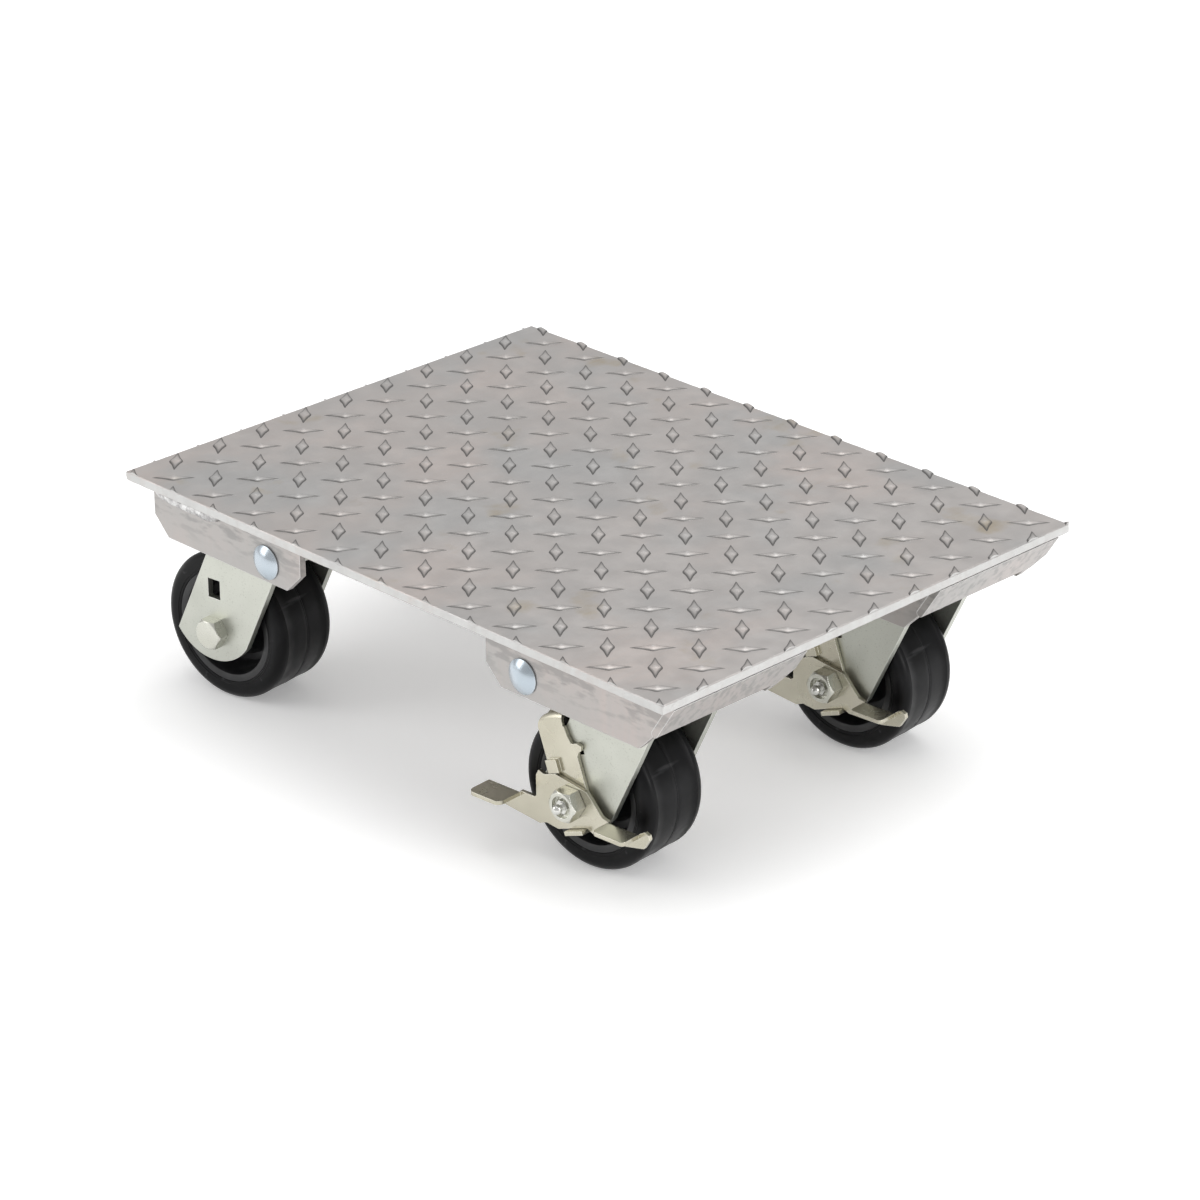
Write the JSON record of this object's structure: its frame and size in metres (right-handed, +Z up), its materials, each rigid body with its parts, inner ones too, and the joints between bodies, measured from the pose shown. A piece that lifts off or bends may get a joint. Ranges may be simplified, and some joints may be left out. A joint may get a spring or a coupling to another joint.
{
  "type": "platform dolly",
  "caption": "Low tread-plate platform dolly on swivel casters held in welded pockets, with foot-operated side brakes on the front pair.",
  "frame": {"origin": "on the floor under the middle of the whole dolly's box; the deck's centre is 5.2 mm forward (+X) of it because the rear wheels trail past the deck", "axes": "+X towards the braked (front) end along the long side, +Y to the left, +Z up"},
  "size_m": [0.493, 0.362, 0.159],
  "materials": {
    "bearing_steel": "ground steel, greased",
    "brake_zinc": "yellowish zinc plate",
    "bright_zinc": "bright blue-white zinc plate",
    "deck": "rolled tread plate, dull mill finish",
    "fastener_zinc": "satin zinc plate",
    "fitting": "plated steel",
    "pocket_aluminium": "flat bar, mill finish, brushed",
    "tyre_rubber": "moulded rubber, matte",
    "weld": "rippled weld metal",
    "wheel_black": "black moulded core",
    "yoke_zinc": "dull zinc plate"
  },
  "bodies": {
    "frame": {"cross_bolt_nuts": "bright_zinc", "cross_bolts": "bright_zinc", "deck_plate": "deck", "front_left_pocket_end_flange": "pocket_aluminium", "front_left_pocket_side_plates": "pocket_aluminium", "front_left_top_plate": "yoke_zinc", "front_right_pocket_end_flange": "pocket_aluminium", "front_right_pocket_side_plates": "pocket_aluminium", "front_right_top_plate": "yoke_zinc", "kingpin_nuts": "fastener_zinc", "kingpins": "fastener_zinc", "packer_plates": "pocket_aluminium", "rear_left_pocket_ledge": "pocket_aluminium", "rear_left_pocket_side_plates": "pocket_aluminium", "rear_left_top_plate": "yoke_zinc", "rear_right_pocket_ledge": "pocket_aluminium", "rear_right_pocket_side_plates": "pocket_aluminium", "rear_right_top_plate": "yoke_zinc", "weld_beads": "weld"},
    "front_right_swivel": {"front_right_yoke": "yoke_zinc", "front_right_swivel_balls": "bearing_steel", "front_right_axle_bolt": "fastener_zinc", "front_right_axle_nut": "fastener_zinc", "front_right_grease_fitting": "fitting", "front_right_axle_sleeve": "bearing_steel"},
    "front_right_wheel": {"front_right_tyre": "tyre_rubber", "front_right_wheel_core": "wheel_black", "front_right_roller_bearing": "bearing_steel"},
    "front_right_lever": {"front_right_brake_lever": "brake_zinc"},
    "front_right_slide": {"front_right_brake_slide": "brake_zinc"},
    "front_left_swivel": {"front_left_yoke": "yoke_zinc", "front_left_swivel_balls": "bearing_steel", "front_left_axle_bolt": "fastener_zinc", "front_left_axle_nut": "fastener_zinc", "front_left_grease_fitting": "fitting", "front_left_axle_sleeve": "bearing_steel"},
    "front_left_wheel": {"front_left_tyre": "tyre_rubber", "front_left_wheel_core": "wheel_black", "front_left_roller_bearing": "bearing_steel"},
    "front_left_lever": {"front_left_brake_lever": "brake_zinc"},
    "front_left_slide": {"front_left_brake_slide": "brake_zinc"},
    "rear_right_swivel": {"rear_right_yoke": "yoke_zinc", "rear_right_swivel_balls": "bearing_steel", "rear_right_axle_bolt": "fastener_zinc", "rear_right_axle_nut": "fastener_zinc", "rear_right_grease_fitting": "fitting", "rear_right_axle_sleeve": "bearing_steel"},
    "rear_right_wheel": {"rear_right_tyre": "tyre_rubber", "rear_right_wheel_core": "wheel_black", "rear_right_roller_bearing": "bearing_steel"},
    "rear_left_swivel": {"rear_left_yoke": "yoke_zinc", "rear_left_swivel_balls": "bearing_steel", "rear_left_axle_bolt": "fastener_zinc", "rear_left_axle_nut": "fastener_zinc", "rear_left_grease_fitting": "fitting", "rear_left_axle_sleeve": "bearing_steel"},
    "rear_left_wheel": {"rear_left_tyre": "tyre_rubber", "rear_left_wheel_core": "wheel_black", "rear_left_roller_bearing": "bearing_steel"}
  },
  "joints": [
    {"name": "front_right_swivel_turn", "type": "hinge", "parent": "frame", "child": "front_right_swivel", "pos_m": [0.17335, -0.114, 0.12805], "axis": [0, 0, 1], "continuous": true},
    {"name": "front_right_wheel_roll", "type": "hinge", "parent": "front_right_swivel", "child": "front_right_wheel", "pos_m": [0.14242, -0.11616, 0.0508], "axis": [-0.0698, 0.9976, 0], "continuous": true},
    {"name": "front_right_lever_turn", "type": "hinge", "parent": "front_right_swivel", "child": "front_right_lever", "pos_m": [0.14242, -0.11616, 0.0508], "axis": [0.0698, -0.9976, 0], "range_deg": [0, 14]},
    {"name": "front_right_shoe_slide", "type": "slide", "parent": "front_right_swivel", "child": "front_right_slide", "axis": [0.3412, 0.0239, -0.9397], "range_m": [0, 0.0026]},
    {"name": "front_left_swivel_turn", "type": "hinge", "parent": "frame", "child": "front_left_swivel", "pos_m": [0.17335, 0.114, 0.12805], "axis": [0, 0, 1], "continuous": true},
    {"name": "front_left_wheel_roll", "type": "hinge", "parent": "front_left_swivel", "child": "front_left_wheel", "pos_m": [0.14242, 0.11184, 0.0508], "axis": [-0.0698, 0.9976, 0], "continuous": true},
    {"name": "front_left_lever_turn", "type": "hinge", "parent": "front_left_swivel", "child": "front_left_lever", "pos_m": [0.14242, 0.11184, 0.0508], "axis": [0.0698, -0.9976, 0], "range_deg": [0, 14]},
    {"name": "front_left_shoe_slide", "type": "slide", "parent": "front_left_swivel", "child": "front_left_slide", "axis": [0.3412, 0.0239, -0.9397], "range_m": [0, 0.0026]},
    {"name": "rear_right_swivel_turn", "type": "hinge", "parent": "frame", "child": "rear_right_swivel", "pos_m": [-0.16295, -0.114, 0.12805], "axis": [0, 0, 1], "continuous": true},
    {"name": "rear_right_wheel_roll", "type": "hinge", "parent": "rear_right_swivel", "child": "rear_right_wheel", "pos_m": [-0.19372, -0.11778, 0.0508], "axis": [-0.1219, 0.9925, 0], "continuous": true},
    {"name": "rear_left_swivel_turn", "type": "hinge", "parent": "frame", "child": "rear_left_swivel", "pos_m": [-0.16295, 0.114, 0.12805], "axis": [0, 0, 1], "continuous": true},
    {"name": "rear_left_wheel_roll", "type": "hinge", "parent": "rear_left_swivel", "child": "rear_left_wheel", "pos_m": [-0.19372, 0.11022, 0.0508], "axis": [-0.1219, 0.9925, 0], "continuous": true}
  ],
  "couplings": [
    {"joint": "front_right_shoe_slide", "follows": "front_right_lever_turn", "m_per_rad": 0.010641},
    {"joint": "front_left_shoe_slide", "follows": "front_left_lever_turn", "m_per_rad": 0.010641}
  ]
}
